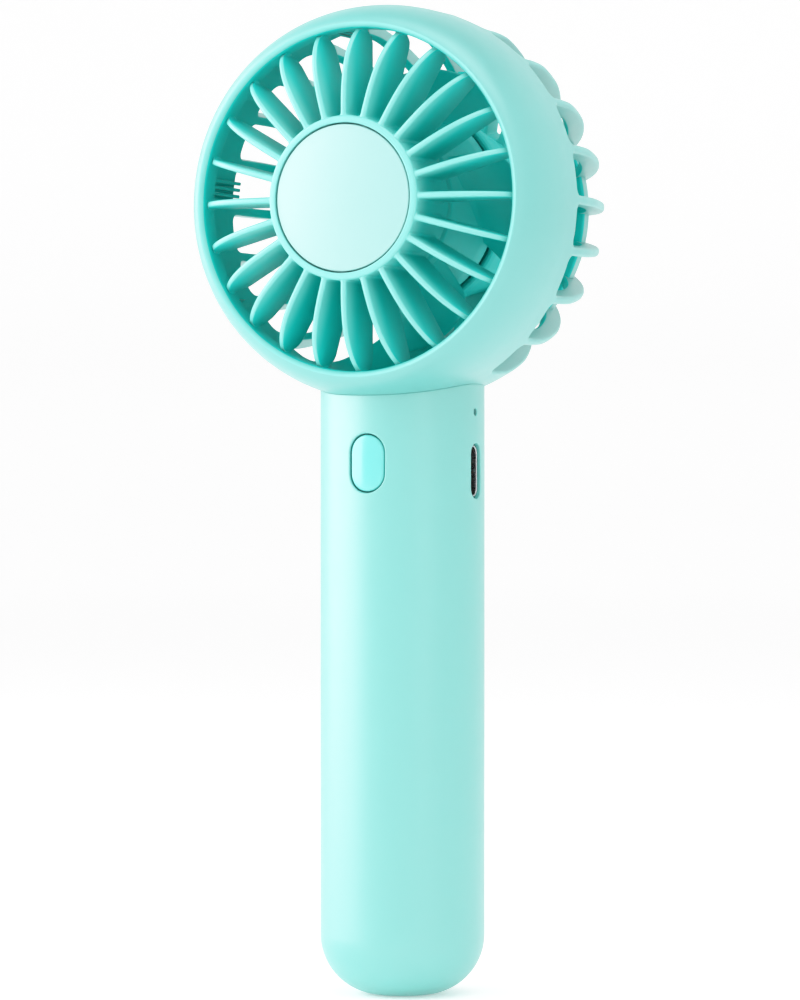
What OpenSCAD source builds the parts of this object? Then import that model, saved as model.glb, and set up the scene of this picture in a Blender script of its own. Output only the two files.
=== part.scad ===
// Handheld electric fan: mint head with 24 front vanes and a finned rear cage,
// on a plain round battery handle. Units are millimetres.
// Frame: origin at the centre of the handle's flat foot, +Z up the handle,
// -Y is the way the air blows, +X is the charging-socket side.

/* [Handle] */
// Outer radius of the round handle
handle_r = 14.2; // [13.8:0.1:14.6]
// Wall thickness of the handle tube
handle_wall = 1.7; // [1.5:0.1:1.8]
// Radius of the rounding between the foot and the tube
foot_round = 10.4; // [9.5:0.1:10.8]

/* [Head] */
// Height of the fan axis above the foot
head_z = 136.15; // [136:0.05:137]
// Largest radius of the head
head_r = 34; // [33.8:0.1:34.3]
// Inner radius of the duct wall
duct_r = 31; // [30.9:0.05:31.1]
// Number of vanes in front, and of fins behind
vanes = 24; // [20:2:28]
// Thickness of a front vane
vane_t = 1.2; // [0.9:0.1:1.4]
// Thickness of a rear fin
fin_t = 1.6; // [1.2:0.1:1.9]

/* [Hub] */
// Outer radius of the grille's hub, the impeller hub's front and the motor boss's back
hub_r = 13.9; // [13.7:0.1:14.0]
// How much wider the impeller hub is at its back
hub_flare = 3.6; // [3.2:0.1:3.7]
// Radius of the domed hub cap
cap_r = 12.4; // [12:0.1:12.5]

/* [Impeller] */
// Number of impeller blades
blades = 5; // [3:1:7]
// Radius of the blade tips
blade_tip_r = 25.2; // [24:0.2:26]
// Turn of the first blade at rest, in degrees
blade_start = 0; // [0:1:71]

/* [Controls] */
// Height of the power button's centre
button_z = 91.6; // [91:0.1:92]
// Width and length of the power button
button_w = 6.2; // [5.8:0.1:6.4]
button_l = 9.7; // [9:0.1:10]
// Gap around the power button
button_gap = 0.2; // [0.15:0.05:0.3]
// Height of the charging socket's centre
usb_z = 90.3; // [90:0.1:90.6]
// Height of the charge light
led_z = 100.4; // [100:0.1:100.6]

/* [Battery] */
// Radius of the round cell
cell_r = 9.2; // [9:0.05:9.25]
// Length of the round cell
cell_l = 65; // [64:0.5:65]

/* [Hidden] */
$fn = 96;
eps = 0.01;
mint = [0.60, 0.87, 0.84];
mint_dark = [0.10, 0.68, 0.65];
inner_r = handle_r - handle_wall;
cup_r = hub_r + hub_flare + 0.4;    // the motor boss behind the impeller hub
board_y = -2.8;      // front face of the upright circuit board
board_t = 1.0;
grip_top = 84;       // the tube is a true cylinder up to here, with draft above
cell_z = 11.5;       // where the cell stands on the frame's floor
neck_x = 6.6;        // neck screws
neck_y = 6.2;

// ---- helpers -------------------------------------------------------------
// The fan axis: local +Z is forward (world -Y), local +Y is up.
module fan_axis() translate([0, 0, head_z]) rotate([90, 0, 0]) children();

// Catmull-Rom points through a short hand-chosen list.
function cr(a, b, c, d, t) = 0.5 * ((2 * b) + (c - a) * t
    + (2 * a - 5 * b + 4 * c - d) * t * t + (3 * b - a - 3 * c + d) * t * t * t);
function smooth(p, n) = concat([for (i = [0:len(p) - 2]) for (k = [0:n - 1])
    cr(p[max(i - 1, 0)], p[i], p[i + 1], p[min(i + 2, len(p) - 1)], k / n)],
    [p[len(p) - 1]]);

// A slot with round ends: w wide, l long along local Y.
module slot2d(w, l) {
    square([w, l - w], center = true);
    for (s = [-1, 1]) translate([0, s * (l - w) / 2]) circle(d = w);
}

module ring(ro, ri, h) difference() {
    cylinder(r = ro, h = h);
    translate([0, 0, -1]) cylinder(r = ri, h = h + 2);
}

// A round wire along a list of points, as one closed tube of m sides.
function unit(v) = v / norm(v);
function tube_pts(q, r, m) = [for (i = [0:len(q) - 1])
    let (t = unit(q[min(i + 1, len(q) - 1)] - q[max(i - 1, 0)]),
        u = unit(cross(t, [1, 0, 0])), v = cross(t, u))
    for (j = [0:m - 1]) q[i] + r * (cos(360 * j / m) * u + sin(360 * j / m) * v)];
module wire(p, r, m = 10) {
    q = smooth(p, 4);
    n = len(q);
    polyhedron(points = tube_pts(q, r, m), faces = concat(
        [[for (j = [0:m - 1]) j]],
        [for (i = [0:n - 2]) for (j = [0:m - 1]) for (k = [0, 1])
            let (a = i * m + j, b = i * m + (j + 1) % m)
            k == 0 ? [a, a + m, b + m] : [a, b + m, b]],
        [[for (j = [m - 1:-1:0]) (n - 1) * m + j]]), convexity = 8);
}

// ---- head profiles, as [radius, forward distance] ------------------------
rim_r = 30;          // crest of the rolled rim, where the grille meets the shell
rim_h = 18.78;
front_side = [for (a = [81:-9:0]) [head_r - 4.5 + 4.5 * cos(a), 6 + 12.9 * sin(a)]];
rear_out = smooth([[head_r, -1.5], [head_r - 0.35, -6], [head_r - 1.1, -9.6],
    [head_r - 2.0, -12.9], [31.0, -16.1], [29.6, -19.4], [27.9, -22.5],
    [26.1, -24.8], [24.0, -26.5], [20.4, -28.1], [17, -28.95], [13.8, -29.5]], 2);
rear_in = smooth([[duct_r, -3], [30.6, -7], [29.4, -11], [27.7, -15],
    [25.9, -18.2], [23.9, -20.7], [21, -22.7], [17.5, -24], [13.5, -24.6]], 2);
function flip(p) = [for (i = [len(p) - 1:-1:0]) p[i]];

// Everything inside the head's walls.
module head_cavity() rotate_extrude() polygon(concat(
    [[0, 19], [rim_r, 19], [rim_r, 13.6], [duct_r, 13.4]], rear_in, [[0, -24.6]]));

// The whole outer form of the head, grown by g.
module head_envelope(g = 0) rotate_extrude() polygon(concat([[0, rim_h], [rim_r, rim_h]],
    [for (p = concat(front_side, rear_out)) [p[0] + g, p[1]]], [[0, -29.5]]));

// ---- head ----------------------------------------------------------------
module rear_fin() rotate([90, 0, 0]) translate([0, 0, -fin_t / 2])
    linear_extrude(fin_t) polygon(concat([[duct_r + 0.4, 4], [head_r - 0.3, 4]],
        [[head_r - 0.3, -1.5]], [for (i = [1:len(rear_out) - 1]) rear_out[i]], flip(rear_in)));

module head_shell() color(mint) difference() {
    union() {
        fan_axis() {
            // duct wall
            rotate_extrude() polygon(concat([[rim_r + 0.03, rim_h]], front_side,
                [[head_r, 2.2], [head_r - 0.5, 1.7], [duct_r, 1.7], [duct_r, 13.4], [rim_r + 0.03, 13.4]]));
            // free fins; the neck takes the place of the lowest three
            for (i = [0:vanes - 1]) let (a = i * 360 / vanes)
                if (abs(a - 270) > 29) rotate([0, 0, a]) rear_fin();
            // hoop that ties the fins together
            translate([0, 0, -23.4]) ring(25.3, 23.6, 2.7);
            // motor boss: a cup round the motor, a plate, and a hollow that narrows to the back
            rotate_extrude() polygon([[0, -8], [cup_r - 1.5, -8], [cup_r - 1.5, -4.2], [cup_r - 0.8, -2.7],
                [cup_r - 0.3, -2.7], [cup_r, -3.1], [cup_r, -4.2], [cup_r - 0.7, -8.5], [cup_r - 1.6, -13.5],
                [cup_r - 2.7, -19], [cup_r - 3.5, -24.6], [hub_r, -29.3], [hub_r - 1.7, -29.3],
                [hub_r - 1.7, -26.5], [cup_r - 5, -24], [cup_r - 4.2, -19], [cup_r - 3.1, -13.5],
                [cup_r - 2.6, -10.4], [0, -10.4]]);
            // skin of the neck
            rotate([0, 0, -120]) rotate_extrude(angle = 60) polygon(concat(
                [[duct_r - 0.1, 2], [head_r, 2]], rear_out,
                [[13.5, -27.4], [17, -26.8], [20.4, -25.9], [23.2, -24.5], [25, -22.8],
                [26.5, -20.8], [28, -18.2], [29.3, -15.2], [30.2, -12], [30.8, -8], [duct_r - 0.1, -4]]));
            // small locating ribs on the duct wall
            for (i = [0:4]) for (k = [-1.5:1:1.5]) rotate([0, 0, 174.5 - 72 * i + k * 2.1])
                translate([duct_r - 0.7, -0.28, 1.2]) cube([1.3, 0.56, 11.6]);
        }
        // wire duct up the back of the neck
        difference() {
            translate([-3.4, 8.4, head_z - 31.5]) cube([6.8, 5.2, 18.5]);
            fan_axis() translate([0, 0, -20]) cylinder(r = cup_r - 2.4, h = 9.8);
        }
        // spigot that plugs into the handle
        difference() {
            union() {
                translate([0, 0, 98]) ring(inner_r - 0.2, inner_r - 1.7, 7.5);
                for (s = [-1, 1]) translate([s * neck_x, neck_y, 97.5]) cylinder(r = 2.1, h = 8.5);
            }
            translate([-20, -5.4, 97]) cube([40, 10.8, 12]);
            fan_axis() translate([0, 0, -20]) cylinder(r = 31.4, h = 40);
        }
    }
    // wire passage
    translate([-2.2, 9.2, 96]) cube([4.4, 3.2, 29]);
    // neck screw holes
    for (s = [-1, 1]) translate([s * neck_x, neck_y, 96]) cylinder(r = 0.8, h = 7);
    fan_axis() {
        // rotor clearance, motor screw holes and wire hole in the boss plate
        translate([0, 0, -11]) cylinder(r = 3, h = 4);
        for (a = [90:120:330]) rotate([0, 0, a]) translate([8.2, 0, -11]) cylinder(r = 0.8, h = 4);
        translate([0, -7, -11]) cylinder(r = 1.9, h = 4);
    }
}

vane_front = smooth([[13.6, 23.15], [17, 23.1], [20.5, 22.7], [23.5, 21.8],
    [26, 20.4], [28, 18.6], [29.3, 16.9]], 2);
module front_grille() color(mint) fan_axis() {
    difference() {
        union() {
            // inner half of the rolled rim
            rotate_extrude() polygon(concat([[rim_r - 0.02, 14.5], [rim_r - 0.02, rim_h]],
                [for (a = [99:9:180]) [rim_r + 0.95 * cos(a), rim_h - 0.95 + 0.95 * sin(a)]],
                [[29.05, 14.5]]));
            // hooks that catch behind the shell's step
            for (a = [66.5:72:360]) rotate([0, 0, a]) {
                translate([29.05, -1.6, 12.0]) cube([0.9, 3.2, 3]);
                translate([29.5, -1.6, 12.0]) cube([1.3, 3.2, 1.1]);
            }
            for (i = [0:vanes - 1]) rotate([90, 0, i * 360 / vanes])
                translate([0, 0, -vane_t / 2]) linear_extrude(vane_t)
                    polygon(concat([[13.6, 12.2]], vane_front, [[29.3, 12.2]]));
            // hub cup
            rotate_extrude() polygon([[hub_r - 1.4, 10.6], [hub_r, 10.6], [hub_r, 22.9],
                [hub_r - 0.25, 23.3], [cap_r + 0.5, 23.4], [cap_r + 0.22, 23.2],
                [cap_r + 0.22, 21.4], [0, 21.4], [0, 20.2], [hub_r - 1.4, 20.2]]);
        }
        // three pegs of the cap press into these
        for (a = [90:120:330]) rotate([0, 0, a]) translate([8, 0, 19]) cylinder(r = 1.1, h = 4);
    }
}

module hub_cap() color([0.78, 0.94, 0.93]) fan_axis() {
    rotate_extrude() polygon(concat([[0, 21.5], [cap_r, 21.5], [cap_r, 22.95]],
        [for (i = [0:8]) let (r = cap_r - 0.25 - i * (cap_r - 0.25) / 8)
            [r, 23.2 + 0.75 * (1 - pow(r / cap_r, 2))]]));
    for (a = [90:120:330]) rotate([0, 0, a]) translate([8, 0, 19.2]) cylinder(r = 1.05, h = 2.5);
}

module rear_cap() color(mint) fan_axis() rotate_extrude()
    polygon([[0, -27.6], [12.1, -27.6], [12.1, -28.8], [11.6, -29.2], [7, -29.6], [0, -29.7]]);

// ---- impeller ------------------------------------------------------------
bs = 8;    // stations along a blade
bn = 9;    // points along each side of a section
function b_root(u) = hub_r - 0.75 + 0.95 * hub_flare * (1 - u);   // just inside the hub's wall
function b_tip(u) = blade_tip_r - 2.2 * u * u;
function b_fill(s) = s < 0.75 ? 1 : sqrt(1 - 0.5 * pow((s - 0.75) / 0.25, 2));
function b_rear(s) = 0.1 - 2.6 * pow(s, 1.4);
function b_front(s) = 8.7 - 6.5 * s;
function b_t(s) = 1.5 - 0.6 * s;
// s runs from the root to the tip, u from the rear edge to the front edge
function b_pt(s, u, side) = let (
    r = b_root(u) + s * (b_tip(u) - b_root(u)),
    um = 0.5 + (u - 0.5) * b_fill(s),
    a = -23 - 10 * s + (56 - 3 * s) * um,
    h = b_rear(s) + (b_front(s) - b_rear(s)) * um + 0.8 * sin(180 * um),
    t = side * b_t(s) / 2 * pow(4 * u * (1 - u), 0.45))
    [r * cos(a - t * 40 / r), r * sin(a - t * 40 / r), h + t * 0.7];
function b_sec(s) = concat([for (j = [0:bn]) b_pt(s, j / bn, 1)],
    [for (j = [bn - 1:-1:1]) b_pt(s, j / bn, -1)]);
module blade() {
    m = 2 * bn;
    pts = [for (i = [0:bs]) for (p = b_sec(i / bs)) p];
    side = [for (i = [0:bs - 1]) for (j = [0:m - 1]) for (k = [0, 1])
        let (a = i * m + j, b = i * m + (j + 1) % m, c = a + m, d = b + m)
        k == 0 ? [a, b, d] : [a, d, c]];
    function lo(j) = j == 0 ? 0 : (j == bn ? bn : m - j);
    function cap(o) = concat([for (j = [0:bn - 1]) if (j + 1 < bn) [o + j, o + lo(j + 1), o + j + 1]],
        [for (j = [1:bn - 1]) [o + j, o + lo(j), o + lo(j + 1)]]);
    c0 = cap(0);
    c1 = [for (f = cap(bs * m)) [f[2], f[1], f[0]]];
    polyhedron(points = pts, faces = concat(side, c0, c1), convexity = 6);
}

module impeller() color(mint_dark) fan_axis() {
    difference() {
        union() {
            rotate_extrude() polygon([[0, 8.4], [hub_r - 1.5, 8.4], [hub_r + 0.30 * hub_flare - 1.4, 6.2],
                [hub_r + 0.60 * hub_flare - 1.4, 3.3], [hub_r + 0.86 * hub_flare - 1.4, 0.8],
                [hub_r + hub_flare - 1.4, -1], [hub_r + hub_flare - 0.2, -1], [hub_r + hub_flare, -0.7],
                [hub_r + 0.85 * hub_flare, 1.1], [hub_r + 0.58 * hub_flare, 3.6],
                [hub_r + 0.28 * hub_flare, 6.6], [hub_r, 9.1], [hub_r - 0.9, 10], [0, 10]]);
            // sleeve over the rotor can
            translate([0, 0, -5]) ring(11.3, 10.2, 13.6);
            for (i = [0:4]) rotate([90, 0, i * 72 + 20]) translate([0, 0, -0.5]) linear_extrude(1)
                polygon([[11, -0.8], [hub_r + hub_flare - 1, -0.8], [hub_r + 0.58 * hub_flare - 1, 3.6],
                [hub_r - 1, 8.6], [11, 8.6]]);
            translate([0, 0, 2.2]) cylinder(r = 2.6, h = 6.4);
            for (i = [0:blades - 1]) rotate([0, 0, blade_start + i * 360 / blades]) blade();
        }
        translate([0, 0, -12]) cylinder(r = 1.0, h = 21.2);
    }
}

// ---- motor ---------------------------------------------------------------
module rotor_can() color("silver") fan_axis() difference() {
    translate([0, 0, -5.4]) cylinder(r = 10.2, h = 7.0);
    translate([0, 0, -6]) cylinder(r = 9.6, h = 6.9);
    translate([0, 0, -1]) cylinder(r = 1.0, h = 5);
}
module magnet_ring() color([0.2, 0.2, 0.22]) fan_axis() translate([0, 0, -5.2]) ring(9.6, 8.5, 5.4);
module motor_shaft() color("lightgray") fan_axis() difference() {
    translate([0, 0, -9.6]) cylinder(r = 1.0, h = 18.6);
    translate([0, 0, -9.0]) ring(2, 0.75, 0.4);
}
module shaft_clip() color("gray") fan_axis() translate([0, 0, -9.0]) difference() {
    ring(2.2, 0.75, 0.4);
    translate([0, -0.7, -1]) cube([4, 1.4, 3]);
}
module bearing(h0) color("silver") fan_axis() translate([0, 0, h0]) ring(2.5, 1.03, 2.5);
module front_bearing() bearing(-2.1);
module rear_bearing() bearing(-7.9);
module motor_base() color("gainsboro") fan_axis() difference() {
    union() {
        translate([0, 0, -8.0]) cylinder(r = 10.8, h = 1.2);
        translate([0, 0, -8.0]) cylinder(r = 3.3, h = 8.5);
    }
    translate([0, 0, -7.9]) cylinder(r = 2.5, h = 9);
    translate([0, 0, -9]) cylinder(r = 1.8, h = 9);
    for (a = [90:120:330]) rotate([0, 0, a]) translate([8.2, 0, -9]) cylinder(r = 0.9, h = 4);
    translate([0, -7, -9]) cylinder(r = 1.9, h = 4);
}
module stator_core() color([0.45, 0.46, 0.5]) fan_axis() translate([0, 0, -4.6]) {
    ring(4.7, 3.3, 4.2);
    for (i = [0:8]) rotate([0, 0, i * 40 + 10]) {
        translate([4.2, -0.6, 0.15]) cube([3.3, 1.2, 3.9]);
        translate([7.2, -1.9, 0.05]) cube([0.7, 3.8, 4.1]);
    }
}
module motor_windings() color([0.80, 0.45, 0.20]) fan_axis() for (i = [0:8])
    rotate([0, 0, i * 40 + 10]) translate([4.85, 0, -5.2]) difference() {
        translate([0, -1.25, 0]) cube([2.3, 2.5, 5.4]);
        translate([-1, -0.62, 0.58]) cube([5, 1.24, 4.24]);
    }
module motor_board() color([0.10, 0.35, 0.22]) fan_axis() translate([0, 0, -6.8]) difference() {
    ring(7.0, 3.35, 0.8);
    translate([0, -7, -1]) cylinder(r = 1.9, h = 4);
}
module motor_screws() color("silver") fan_axis() for (a = [90:120:330])
    rotate([0, 0, a]) translate([8.2, 0, 0]) {
        translate([0, 0, -10.2]) cylinder(r = 0.78, h = 3.5);
        translate([0, 0, -6.8]) cylinder(r = 1.15, h = 0.8);
    }

// ---- handle --------------------------------------------------------------
module button_cut(w, l, y0, y1) translate([0, y0, button_z]) rotate([-90, 0, 0])
    linear_extrude(y1 - y0) slot2d(w, l);

module handle_shell() color(mint) difference() {
    rotate_extrude() polygon(concat([[0, 0], [handle_r - foot_round, 0]],
        [for (i = [1:12]) let (a = i * 7.5) [handle_r - foot_round + foot_round * sin(a),
            foot_round - foot_round * cos(a)]],
        [[handle_r, grip_top], [handle_r - 0.05, 107], [inner_r, 107]],
        [for (i = [12:-1:0]) let (a = i * 7.5, q = foot_round - handle_wall)
            [handle_r - foot_round + q * sin(a), foot_round - q * cos(a)]],
        [[0, handle_wall]]));
    fan_axis() head_envelope(0.06);
    button_cut(button_w + 2 * button_gap, button_l + 2 * button_gap, -20, -5);
    // socket mouth and charge-light hole on the +X side
    translate([5, -0.2, usb_z]) rotate([0, 90, 0]) rotate([0, 0, 90])
        linear_extrude(15) slot2d(3.6, 9.5);
    translate([8, -0.6, led_z]) rotate([0, 90, 0]) cylinder(r = 0.62, h = 10, $fn = 32);
}

module inner_frame() color([0.92, 0.93, 0.93]) difference() {
    union() {
        // trough behind the cell and the board
        intersection() {
            translate([0, 0, 9.8]) ring(inner_r - 0.3, inner_r - 1.6, 86.7);
            translate([-15, 3, 9]) cube([30, 15, 90]);
        }
        translate([0, 0, 9.8]) cylinder(r = inner_r - 0.3, h = 1.3);
        translate([0, 0, 78.2]) cylinder(r = inner_r - 0.3, h = 1.2);
        // board posts
        for (z = [82, 93]) translate([-11.2, board_y + board_t, z]) cube([5.2, 6.0, 3]);
        translate([5.2, board_y + board_t, 79.2]) cube([3, 9, 4]);
        // lugs for the neck screws
        for (s = [-1, 1]) translate([s * neck_x, neck_y, 94.5]) cylinder(r = 2.4, h = 2);
    }
    for (s = [-1, 1]) translate([s * neck_x, neck_y, 90]) cylinder(r = 0.9, h = 10);
    for (z = [83.5, 94.5]) translate([-7.5, -3, z]) rotate([-90, 0, 0]) cylinder(r = 0.7, h = 6);
    // notches for the cell's leads
    translate([-2.5, -14, 9]) cube([5, 5.5, 3]);
    translate([-4.4, -14, 77]) cube([8.8, 8, 4]);
    translate([-2.2, 8.8, 94]) cube([4.4, 4, 4]);
}

module circuit_board() color([0.06, 0.32, 0.20]) difference() {
    translate([-10.2, board_y, 80.6]) cube([21.6, board_t, 20.9]);
    for (z = [83.5, 94.5]) translate([-7.5, -6, z]) rotate([-90, 0, 0]) cylinder(r = 0.85, h = 6);
}
module board_chips() color([0.12, 0.12, 0.13]) {
    translate([-2.4, board_y + board_t, 84]) cube([5, 1.6, 5]);
    translate([-3.2, board_y + board_t, 93.4]) cube([4, 1.2, 3]);
    translate([4.2, board_y - 2.6, 82]) cube([5, 2.6, 5]);
    translate([-9.2, board_y - 0.9, 87]) cube([3.2, 0.9, 1.6]);
    translate([5.4, board_y - 0.8, 95.4]) cube([3.2, 0.8, 1.6]);
}
module board_screws() color("silver") for (z = [83.5, 94.5]) translate([-7.5, 0, z])
    rotate([-90, 0, 0]) {
        translate([0, 0, board_y - 0.9]) cylinder(r = 1.4, h = 0.9);
        translate([0, 0, board_y - 0.1]) cylinder(r = 0.7, h = 5.4);
    }
module usb_shell() color("silver") translate([6.2, -0.2, usb_z]) rotate([0, 90, 0])
    rotate([0, 0, 90]) difference() {
        linear_extrude(7.4) slot2d(3.2, 8.94);
        translate([0, 0, 1.2]) linear_extrude(8) slot2d(2.56, 8.34);
    }
module usb_tongue() color([0.1, 0.1, 0.11]) {
    translate([7.4, -0.2 - 1.1, usb_z - 3.0]) cube([1.0, 2.2, 6.0]);
    translate([8.4, -0.2 - 0.35, usb_z - 3.35]) cube([4.6, 0.7, 6.7]);
}
module tact_switch() color([0.15, 0.15, 0.16]) difference() {
    translate([-3, board_y - 3.5, button_z - 3]) cube([6, 3.5, 6]);
    translate([0, board_y - 4, button_z]) rotate([-90, 0, 0]) cylinder(r = 1.78, h = 1.6);
}
module switch_plunger() color([0.85, 0.82, 0.75]) translate([0, -9.8, button_z])
    rotate([-90, 0, 0]) cylinder(r = 1.7, h = 4.0);
module power_button() color([0.55, 0.92, 0.90]) {
    intersection() {
        button_cut(button_w, button_l, -16, -11.3);
        cylinder(r = handle_r - 0.02, h = 120);
    }
    button_cut(button_w + 1.6, button_l + 1.6, -11.4, -10.6);
    translate([0, -10.7, button_z]) rotate([-90, 0, 0]) cylinder(r = 1.4, h = 0.86);
}
module charge_led() color([0.95, 0.95, 0.85]) translate([9.9, board_y + board_t, led_z - 0.7])
    cube([1.4, 1.7, 1.4]);
module led_lens() color([0.15, 0.55, 0.50]) translate([11.4, -0.6, led_z]) rotate([0, 90, 0])
    difference() {
        union() { cylinder(r = 0.6, h = 2.7, $fn = 32); cylinder(r = 0.95, h = 0.9, $fn = 32); }
        // its face follows the handle
        translate([-5, -5, 2.74]) cube([10, 10, 2]);
    }

// ---- battery -------------------------------------------------------------
module battery_cell() color([0.25, 0.55, 0.75]) translate([0, 0, cell_z]) {
    cylinder(r = cell_r, h = cell_l - 1.2);
    translate([0, 0, cell_l - 1.3]) cylinder(r = 8.6, h = 0.8);
    translate([0, 0, cell_l - 0.6]) cylinder(r = 3.2, h = 0.6);
}
module battery_insulator() color("white") translate([0, 0, cell_z + cell_l - 0.5])
    ring(8.4, 3.4, 0.3);
module battery_tabs() color([0.75, 0.75, 0.72]) {
    translate([-2, -8, cell_z + cell_l]) cube([4, 10, 0.2]);
    translate([-2, -10.6, cell_z - 0.3]) cube([4, 12, 0.2]);
}
module battery_lead_red() color("red") wire([[0, -6.6, cell_z + cell_l + 0.8],
    [2.6, -7.6, 79.2], [2.6, -5.8, 82.6], [2.6, -4.6, 84.4], [2.6, -3.6, 84.8],
    [2.6, board_y - 0.05, 84.8]], 0.6);
module battery_lead_black() color([0.1, 0.1, 0.1]) wire([[0, -10, cell_z + 0.5],
    [0, -10.8, cell_z + 4], [0, -10.8, 74], [-2.6, -8.6, 79.4], [-2.6, -5.8, 82.6],
    [-2.6, -4.6, 84.4], [-2.6, -3.6, 84.8], [-2.6, board_y - 0.05, 84.8]], 0.6);
module motor_lead(s) wire([[s * 0.95, board_y + board_t + 0.05, 98.6], [s * 0.95, 8, 98.0],
    [s * 0.95, 10.9, 101], [s * 0.95, 11.2, 104], [s * 0.95, 11.2, 126],
    [s * 0.95, 10.6, 128.6], [s * 0.95, 9, 129.2], [s * 0.95, 6.1, 129.3]], 0.6);
module motor_lead_red() color("red") motor_lead(1);
module motor_lead_black() color([0.1, 0.1, 0.1]) motor_lead(-1);
module foam_pads() color([0.35, 0.35, 0.37]) for (z = [20, 54]) intersection() {
    translate([0, 0, z]) ring(inner_r - 1.65, cell_r + 0.05, 16);
    translate([-20, 4, z - 1]) cube([40, 20, 20]);
}
module neck_screws() color("silver") for (s = [-1, 1]) translate([s * neck_x, neck_y, 0]) {
    translate([0, 0, 93.2]) cylinder(r = 1.7, h = 1.3);
    translate([0, 0, 94.4]) cylinder(r = 0.78, h = 7.6);
}

head_shell();
front_grille();
hub_cap();
rear_cap();
impeller();
rotor_can();
magnet_ring();
motor_shaft();
shaft_clip();
front_bearing();
rear_bearing();
motor_base();
stator_core();
motor_windings();
motor_board();
motor_screws();
handle_shell();
inner_frame();
circuit_board();
board_chips();
board_screws();
usb_shell();
usb_tongue();
tact_switch();
switch_plunger();
power_button();
charge_led();
led_lens();
battery_cell();
battery_insulator();
battery_tabs();
battery_lead_red();
battery_lead_black();
motor_lead_red();
motor_lead_black();
foam_pads();
neck_screws();
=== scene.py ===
import math
import bpy
import bmesh
import numpy as np
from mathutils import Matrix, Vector


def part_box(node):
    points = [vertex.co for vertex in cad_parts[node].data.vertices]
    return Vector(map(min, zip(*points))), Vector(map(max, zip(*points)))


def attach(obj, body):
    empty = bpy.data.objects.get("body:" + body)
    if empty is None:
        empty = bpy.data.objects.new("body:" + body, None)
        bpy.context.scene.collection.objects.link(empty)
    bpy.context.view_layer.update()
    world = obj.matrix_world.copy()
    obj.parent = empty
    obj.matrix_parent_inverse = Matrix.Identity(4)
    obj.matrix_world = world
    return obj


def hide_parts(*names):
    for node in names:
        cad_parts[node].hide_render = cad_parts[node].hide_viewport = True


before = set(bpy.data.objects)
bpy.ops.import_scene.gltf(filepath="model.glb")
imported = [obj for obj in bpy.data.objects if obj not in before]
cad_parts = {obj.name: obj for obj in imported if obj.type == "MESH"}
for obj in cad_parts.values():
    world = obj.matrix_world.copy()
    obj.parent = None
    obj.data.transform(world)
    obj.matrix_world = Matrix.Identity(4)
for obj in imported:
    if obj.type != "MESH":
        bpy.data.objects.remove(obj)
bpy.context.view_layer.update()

MM = 0.001
cos, sin, pi = math.cos, math.sin, math.pi


def mm(node):
    lo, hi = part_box(node)
    return [c * 1000 for c in lo], [c * 1000 for c in hi]


# ---------------------------------------------------------------- positions
lo, hi = mm("motor_shaft")
ZC = (lo[2] + hi[2]) / 2                     # height of the fan axis
lo, hi = mm("head_shell")
HEAD_R = (hi[0] - lo[0]) / 2
lo, hi = mm("handle_shell")
HR = (hi[0] - lo[0]) / 2                     # handle radius
Z0 = lo[2]
lo, hi = mm("power_button")
BUT_Z = (lo[2] + hi[2]) / 2
lo, hi = mm("usb_shell")
USB_Z = (lo[2] + hi[2]) / 2
USB_Y = (lo[1] + hi[1]) / 2
USB_X0, USB_X1 = lo[0], hi[0]
lo, hi = mm("led_lens")
LED_Z = (lo[2] + hi[2]) / 2
LED_Y = (lo[1] + hi[1]) / 2
HUB_R = 13.9
CUP_R = 17.9                                 # motor boss behind the impeller hub
NV = 24                                      # vanes in front and fins behind
HALF = math.radians(180 / NV)


# ------------------------------------------------------------ mesh building
def hd(rho, phi, h):
    """Head coordinates: radius, angle from +X towards up, distance forward of the fan plane."""
    return (rho * cos(phi), -h, ZC + rho * sin(phi))


class Mesh:
    def __init__(self):
        self.v, self.f = [], []

    def add(self, verts, faces):
        n = len(self.v)
        self.v += [tuple(p) for p in verts]
        self.f += [tuple(i + n for i in f) for f in faces]

    def grid(self, rows, wrap_u=False, wrap_v=False, flip=False):
        """rows[v][u] of points."""
        nv, nu = len(rows), len(rows[0])
        faces = []
        for j in range(nv if wrap_v else nv - 1):
            for i in range(nu if wrap_u else nu - 1):
                a, b = j * nu + i, j * nu + (i + 1) % nu
                c, d = ((j + 1) % nv) * nu + (i + 1) % nu, ((j + 1) % nv) * nu + i
                faces.append((d, c, b, a) if flip else (a, b, c, d))
        self.add([p for r in rows for p in r], faces)

    def lathe(self, prof, n=192, closed=True):
        """Turns a profile of (rho, h) round the fan axis."""
        rows = [[hd(r, 2 * pi * i / n, h) for i in range(n)] for r, h in prof]
        self.grid(rows, wrap_u=True, wrap_v=closed)

    def build(self, name, mat, body, nodes=(), merge=2e-6, smooth_angle=None):
        me = bpy.data.meshes.new(name)
        me.from_pydata([tuple(c * MM for c in p) for p in self.v], [], self.f)
        bm = bmesh.new()
        bm.from_mesh(me)
        bmesh.ops.remove_doubles(bm, verts=bm.verts, dist=merge)
        bmesh.ops.dissolve_degenerate(bm, dist=merge * 0.5, edges=bm.edges)
        bmesh.ops.delete(bm, geom=[v for v in bm.verts if not v.link_faces], context="VERTS")
        bmesh.ops.recalc_face_normals(bm, faces=bm.faces)
        for f in bm.faces:
            f.smooth = True
        for e in bm.edges:
            e.smooth = not (len(e.link_faces) == 2 and e.calc_face_angle(0) > 0.9)
        bm.to_mesh(me)
        bm.free()
        ob = bpy.data.objects.new(name, me)
        bpy.context.scene.collection.objects.link(ob)
        me.materials.append(mat)
        w = ob.modifiers.new("weighted", "WEIGHTED_NORMAL")
        w.keep_sharp = True
        w.weight = 60
        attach(ob, body)
        if nodes:
            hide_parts(*nodes)
        return ob


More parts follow.
